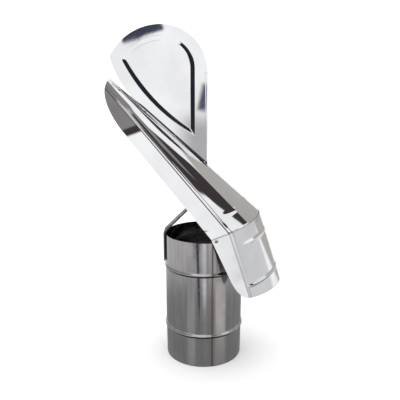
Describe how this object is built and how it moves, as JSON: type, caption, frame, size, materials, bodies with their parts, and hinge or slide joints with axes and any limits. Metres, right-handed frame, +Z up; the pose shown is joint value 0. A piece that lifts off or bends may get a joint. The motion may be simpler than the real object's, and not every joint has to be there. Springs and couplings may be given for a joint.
{
  "type": "rotating chimney cowl",
  "caption": "Rotating chimney cowl: a polished sheet hood with a wind vane and neck guard turns on a pin above a round flue pipe with rolled beads.",
  "frame": {"origin": "centre of the flue pipe's lower end, on the pivot axis", "axes": "+Z up along the pipe and the pivot axis; +X towards the neck guard, which turns into the wind; -X towards the hood's nose; the head's symmetry plane is XZ"},
  "size_m": [0.3307, 0.1712, 0.6362],
  "materials": {
    "polished_stainless": "mirror polished sheet",
    "rolled_stainless": "bright rolled sheet",
    "bracket_steel": "pickled strap",
    "fastener_steel": "plain",
    "bush_bronze": "sintered",
    "pad_plastic": "moulded"
  },
  "bodies": {
    "base": {"base_pipe": "rolled_stainless", "pivot_yoke": "bracket_steel", "yoke_rivets": "fastener_steel", "pivot_pin": "fastener_steel", "lower_nut": "fastener_steel", "lower_washer": "fastener_steel", "upper_washer": "fastener_steel", "upper_nut": "fastener_steel", "retaining_clip": "fastener_steel"},
    "head": {"hood": "polished_stainless", "neck_guard": "polished_stainless", "wind_vane": "polished_stainless", "vane_rivets": "fastener_steel", "seam_rivets": "fastener_steel", "bearing_bridge": "bracket_steel", "pivot_sleeve": "fastener_steel", "sleeve_nut": "fastener_steel", "lower_bush": "bush_bronze", "upper_bush": "bush_bronze", "thrust_pad": "pad_plastic", "bearing_cap": "fastener_steel"}
  },
  "joints": [
    {"name": "head_spin", "type": "hinge", "parent": "base", "child": "head", "pos_m": [0, 0, 0.35], "axis": [0, 0, 1], "continuous": true}
  ]
}
